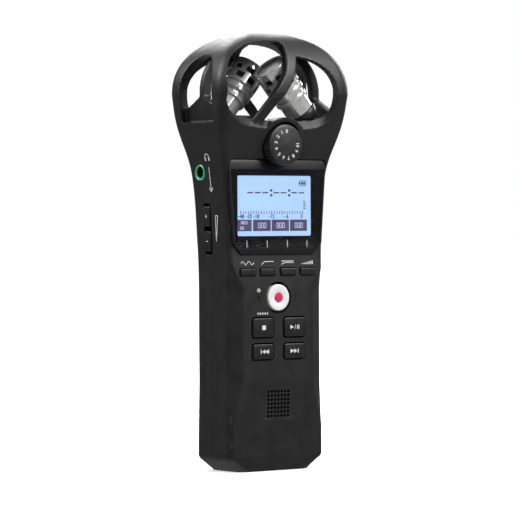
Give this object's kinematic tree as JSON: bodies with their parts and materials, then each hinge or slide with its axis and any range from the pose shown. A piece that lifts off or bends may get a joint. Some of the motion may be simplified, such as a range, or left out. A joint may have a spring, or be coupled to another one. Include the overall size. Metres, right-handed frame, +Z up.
{
  "type": "portable field recorder",
  "caption": "Handheld audio recorder with a slim chamfered grip, lit display, level dial, transport keys and crossed microphones inside an open domed guard.",
  "frame": {"origin": "centre of the base, where the recorder stands", "axes": "+Z up the recorder towards the microphones, front face towards -Y, +X to the right seen from the front"},
  "size_m": [0.05, 0.032, 0.1375],
  "materials": {
    "shell": "fine moulded texture",
    "bezel": "smooth dark gloss",
    "window": "clear",
    "display": "lit pale blue",
    "knob": "satin, knurled side",
    "dark_key": "satin",
    "white_key": "smooth",
    "red_dot": "smooth",
    "led": "unlit red lens",
    "green_ring": "smooth",
    "jack_inside": "dark green",
    "steel": "plated",
    "screw": "black oxide",
    "chrome": "bright plating",
    "mesh": "woven wire",
    "card": "smooth",
    "rubber": "soft",
    "battery": "printed sleeve",
    "brass": "machined",
    "board": "solder mask",
    "cone": "paper cone"
  },
  "bodies": {
    "root": {"front_case": "shell", "rear_case": "shell", "cage_front": "shell", "cage_rear": "shell", "screen_frame": "bezel", "screen_window": "window", "lcd_panel": "display", "level_pot": "steel", "record_led": "led", "phone_jack": "jack_inside", "jack_collar": "green_ring", "line_in_jack": "dark_key", "line_in_collar": "dark_key", "usb_port": "steel", "card_socket": "steel", "memory_card": "card", "battery_1": "battery", "battery_2": "battery", "battery_contact_top": "steel", "battery_contact_bottom": "steel", "tripod_insert": "brass", "case_screw_1": "screw", "case_screw_2": "screw", "case_screw_3": "screw", "case_screw_4": "screw", "main_board": "board", "keypad_mat": "rubber", "speaker": "cone", "mic_front_body": "chrome", "mic_front_mesh": "mesh", "mic_front_pod": "shell", "mic_rear_body": "chrome", "mic_rear_mesh": "mesh", "mic_rear_pod": "shell", "mic_bracket": "shell"},
    "knob": {"level_knob": "knob"},
    "record_key": {"record_button": "white_key", "record_dot": "red_dot"},
    "stop_key": {"stop_button": "dark_key"},
    "play_key": {"play_button": "dark_key"},
    "rewind_key": {"rewind_button": "dark_key"},
    "forward_key": {"forward_button": "dark_key"},
    "function_1_key": {"function_button_1": "dark_key"},
    "function_2_key": {"function_button_2": "dark_key"},
    "function_3_key": {"function_button_3": "dark_key"},
    "function_4_key": {"function_button_4": "dark_key"},
    "volume_up_key": {"volume_up": "dark_key"},
    "volume_down_key": {"volume_down": "dark_key"},
    "power_slider": {"power_switch": "dark_key"},
    "delete_key": {"delete_button": "dark_key"},
    "card_door": {"card_cover": "rubber"},
    "battery_door": {"battery_cover": "shell"}
  },
  "joints": [
    {"name": "level_turn", "type": "hinge", "parent": "root", "child": "knob", "pos_m": [0, -0.012, 0.102], "axis": [0, 1, 0], "range_deg": [0, 270]},
    {"name": "record_press", "type": "slide", "parent": "root", "child": "record_key", "axis": [0, 1, 0], "range_m": [0, 0.0005], "stiffness_N_per_m": 400},
    {"name": "stop_press", "type": "slide", "parent": "root", "child": "stop_key", "axis": [0, 1, 0], "range_m": [0, 0.0004], "stiffness_N_per_m": 400},
    {"name": "play_press", "type": "slide", "parent": "root", "child": "play_key", "axis": [0, 1, 0], "range_m": [0, 0.0004], "stiffness_N_per_m": 400},
    {"name": "rewind_press", "type": "slide", "parent": "root", "child": "rewind_key", "axis": [0, 1, 0], "range_m": [0, 0.0004], "stiffness_N_per_m": 400},
    {"name": "forward_press", "type": "slide", "parent": "root", "child": "forward_key", "axis": [0, 1, 0], "range_m": [0, 0.0004], "stiffness_N_per_m": 400},
    {"name": "function_1_press", "type": "slide", "parent": "root", "child": "function_1_key", "axis": [0, 1, 0], "range_m": [0, 0.0004], "stiffness_N_per_m": 400},
    {"name": "function_2_press", "type": "slide", "parent": "root", "child": "function_2_key", "axis": [0, 1, 0], "range_m": [0, 0.0004], "stiffness_N_per_m": 400},
    {"name": "function_3_press", "type": "slide", "parent": "root", "child": "function_3_key", "axis": [0, 1, 0], "range_m": [0, 0.0004], "stiffness_N_per_m": 400},
    {"name": "function_4_press", "type": "slide", "parent": "root", "child": "function_4_key", "axis": [0, 1, 0], "range_m": [0, 0.0004], "stiffness_N_per_m": 400},
    {"name": "volume_up_press", "type": "slide", "parent": "root", "child": "volume_up_key", "axis": [1, 0, 0], "range_m": [0, 0.0003], "stiffness_N_per_m": 400},
    {"name": "volume_down_press", "type": "slide", "parent": "root", "child": "volume_down_key", "axis": [1, 0, 0], "range_m": [0, 0.0003], "stiffness_N_per_m": 400},
    {"name": "power_slide", "type": "slide", "parent": "root", "child": "power_slider", "axis": [0, 0, 1], "range_m": [-0.002, 0.002]},
    {"name": "delete_press", "type": "slide", "parent": "root", "child": "delete_key", "axis": [-1, 0, 0], "range_m": [0, 0.0003], "stiffness_N_per_m": 400},
    {"name": "card_door_hinge", "type": "hinge", "parent": "root", "child": "card_door", "pos_m": [0.0181, -0.00005, 0.063], "axis": [0, 0, -1], "range_deg": [0, 100]},
    {"name": "battery_door_off", "type": "slide", "parent": "root", "child": "battery_door", "axis": [0, 1, 0], "range_m": [0, 0.012]}
  ]
}
